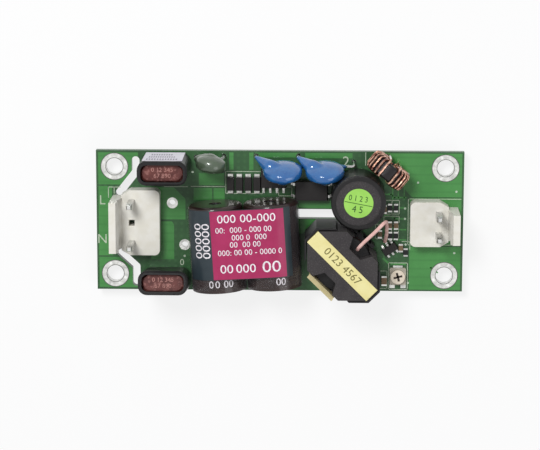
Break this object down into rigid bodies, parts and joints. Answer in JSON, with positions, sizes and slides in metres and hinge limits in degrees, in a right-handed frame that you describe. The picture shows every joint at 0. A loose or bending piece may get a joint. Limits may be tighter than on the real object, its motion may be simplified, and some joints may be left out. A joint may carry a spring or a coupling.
{
  "type": "open frame power supply",
  "caption": "Small mains power supply on a bare green circuit board, with pin headers at both ends, bulk capacitors, transformer, choke and a trimmer that turns.",
  "frame": {"origin": "middle of the mounting hole pattern on the board's underside", "axes": "+X along the board to the output header, +Y across it to the line fuse side, +Z out of the component side"},
  "size_m": [0.07, 0.028, 0.0161],
  "materials": {
    "solder_mask_board": "satin green solder mask over glass fibre",
    "tinned_plating": "bright tinned copper",
    "solder": "bright solder",
    "header_plastic": "natural ivory nylon",
    "tinned_pins": "bright tin",
    "fuse_plastic": "red-brown moulding with pale print",
    "black_sleeve": "dull shrink sleeve",
    "pale_label": "printed paper",
    "thermistor_coating": "grey-green coating",
    "moulded_package": "moulded epoxy",
    "tinned_terminal": "dull tin",
    "can_aluminium": "drawn aluminium",
    "can_sleeve": "dark shrink sleeve",
    "rubber_bung": "black rubber",
    "tinned_wire": "tinned wire",
    "clear_film": "clear shrink film",
    "magenta_label": "gloss printed label",
    "blue_coating": "glossy blue epoxy",
    "ferrite": "ground grey ferrite",
    "enamelled_wire": "enamelled copper wire",
    "lime_sticker": "round printed sticker",
    "bobbin_plastic": "black phenolic moulding",
    "yellow_tape": "polyester tape",
    "black_tape": "polyester tape",
    "pale_insulation": "insulating film",
    "pink_insulation": "soft wire insulation",
    "ring_coating": "dark epoxy coating",
    "trimmer_ceramic": "pale ceramic",
    "trimmer_rotor_plastic": "pale moulding",
    "chip_resistor_body": "black glaze",
    "chip_capacitor_body": "tan ceramic"
  },
  "bodies": {
    "supply": {"board": "solder_mask_board", "plated_rings": "tinned_plating", "solder_joints": "solder", "input_header": "header_plastic", "input_header_pins": "tinned_pins", "output_header": "header_plastic", "output_header_pins": "tinned_pins", "line_fuse": "fuse_plastic", "line_fuse_sleeve": "black_sleeve", "line_fuse_label": "pale_label", "neutral_fuse": "fuse_plastic", "neutral_fuse_sleeve": "black_sleeve", "fuse_leads": "tinned_wire", "thermistor": "thermistor_coating", "thermistor_leads": "tinned_wire", "rectifier_diodes": "moulded_package", "rectifier_terminals": "tinned_terminal", "controller_chip": "moulded_package", "controller_pins": "tinned_terminal", "optocoupler": "moulded_package", "optocoupler_pins": "tinned_terminal", "bulk_capacitor_cans": "can_aluminium", "bulk_capacitor_sleeves": "can_sleeve", "bulk_capacitor_bungs": "rubber_bung", "bulk_capacitor_leads": "tinned_wire", "capacitor_film": "clear_film", "rating_label": "magenta_label", "disc_capacitor_left": "blue_coating", "disc_capacitor_right": "blue_coating", "disc_capacitor_leads": "tinned_wire", "inductor_core": "ferrite", "inductor_winding": "enamelled_wire", "inductor_sleeve": "black_sleeve", "inductor_leads": "tinned_wire", "test_sticker": "lime_sticker", "transformer_core_upper": "ferrite", "transformer_core_lower": "ferrite", "transformer_bobbin": "bobbin_plastic", "transformer_winding": "enamelled_wire", "transformer_tape": "yellow_tape", "transformer_band": "black_tape", "transformer_pins": "tinned_wire", "transformer_insulation": "pale_insulation", "flying_lead": "pink_insulation", "choke_ring": "ring_coating", "choke_winding_left": "enamelled_wire", "choke_winding_right": "enamelled_wire", "trimmer_base": "trimmer_ceramic", "trimmer_terminals": "tinned_terminal", "chip_resistors": "chip_resistor_body", "chip_capacitors": "chip_capacitor_body", "chip_terminals": "tinned_terminal", "regulator_chip": "moulded_package", "regulator_pins": "tinned_terminal"},
    "rotor": {"trimmer_rotor": "trimmer_rotor_plastic"}
  },
  "joints": [
    {"name": "trimmer_turn", "type": "hinge", "parent": "supply", "child": "rotor", "pos_m": [0.02265, -0.0105, 0.00165], "axis": [0, 0, 1], "range_deg": [-115, 115]}
  ]
}
